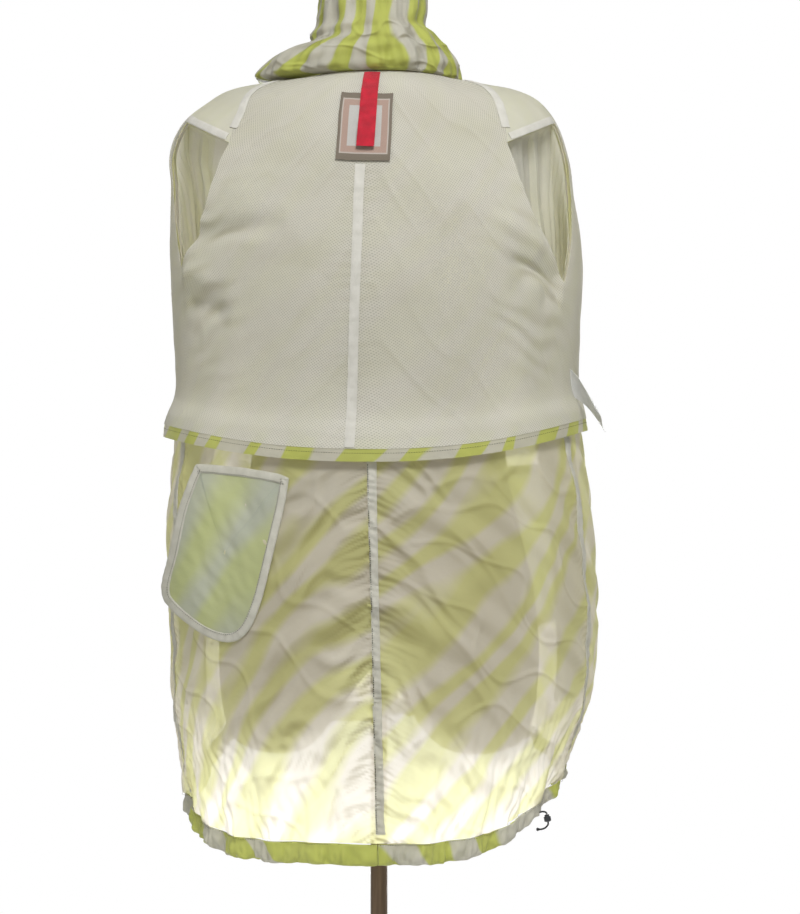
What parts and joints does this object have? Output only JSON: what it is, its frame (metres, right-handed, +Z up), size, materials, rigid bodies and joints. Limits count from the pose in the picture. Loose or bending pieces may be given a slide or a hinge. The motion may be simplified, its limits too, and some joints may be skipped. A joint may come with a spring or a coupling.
{
  "type": "technical coat on dress form",
  "caption": "Light hip-length technical coat, turned inside out, closed by a front zip, on a limbless dress form with a pole and a round base.",
  "frame": {"origin": "middle of the base plate's underside, under the pole's axis", "axes": "+Z up; -Y towards the coat's back, which is the side shown; +X to the right of someone who looks at the back"},
  "size_m": [0.4759, 0.34, 1.5052],
  "materials": {
    "shell": "thin translucent nylon, reverse of a zebra print",
    "mesh": "fine white mesh",
    "taffeta": "thin white taffeta",
    "print": "lime zebra print on grey-white nylon",
    "tape": "woven binding tape",
    "hanger_loop": "red woven ribbon",
    "neck_label": "plain woven label",
    "care_label": "bare white satin",
    "cord": "braided elastic cord",
    "cord_lock": "moulded plastic",
    "zip": "moulded zip on woven tape",
    "pole": "dark bronzed steel tube",
    "base": "matt painted steel plate",
    "form": "jersey over foam"
  },
  "bodies": {
    "coat": {"armhole_tape_left": "tape", "armhole_tape_right": "tape", "care_label": "care_label", "centre_binding": "tape", "collar": "print", "cord_lock": "cord_lock", "dress_form": "form", "hanger_loop": "hanger_loop", "hem_band_back_left": "print", "hem_band_back_right": "print", "hem_band_front_left": "print", "hem_band_front_right": "print", "hem_casing_left": "print", "hem_casing_right": "print", "hem_cord_lower": "cord", "hem_cord_upper": "cord", "lining_back_left": "mesh", "lining_back_right": "mesh", "lining_front_left": "mesh", "lining_front_right": "mesh", "lining_seam_tape": "tape", "lining_shoulder_left": "taffeta", "lining_shoulder_right": "taffeta", "neck_label": "neck_label", "pocket_bag_left": "print", "pocket_bag_right": "print", "pocket_binding_left": "tape", "pocket_binding_right": "tape", "shell_back_left": "shell", "shell_back_right": "shell", "shell_front_left": "shell", "shell_front_right": "shell", "shell_shoulder_left": "shell", "shell_shoulder_right": "shell", "shoulder_tape_left": "tape", "shoulder_tape_right": "tape", "side_binding_left": "tape", "side_binding_right": "tape", "sleeve_left": "taffeta", "sleeve_right": "taffeta", "stand_base": "base", "stand_pole": "pole", "zip_chain": "zip", "zip_slider": "zip", "zip_tape_left": "zip", "zip_tape_right": "zip"},
    "pull_tab": {"zip_pull_tab": "zip"}
  },
  "joints": [
    {"name": "pull_tab_swing", "type": "hinge", "parent": "coat", "child": "pull_tab", "pos_m": [0, 0.0671, 1.4773], "axis": [-1, 0, 0], "range_deg": [0, 150]}
  ]
}
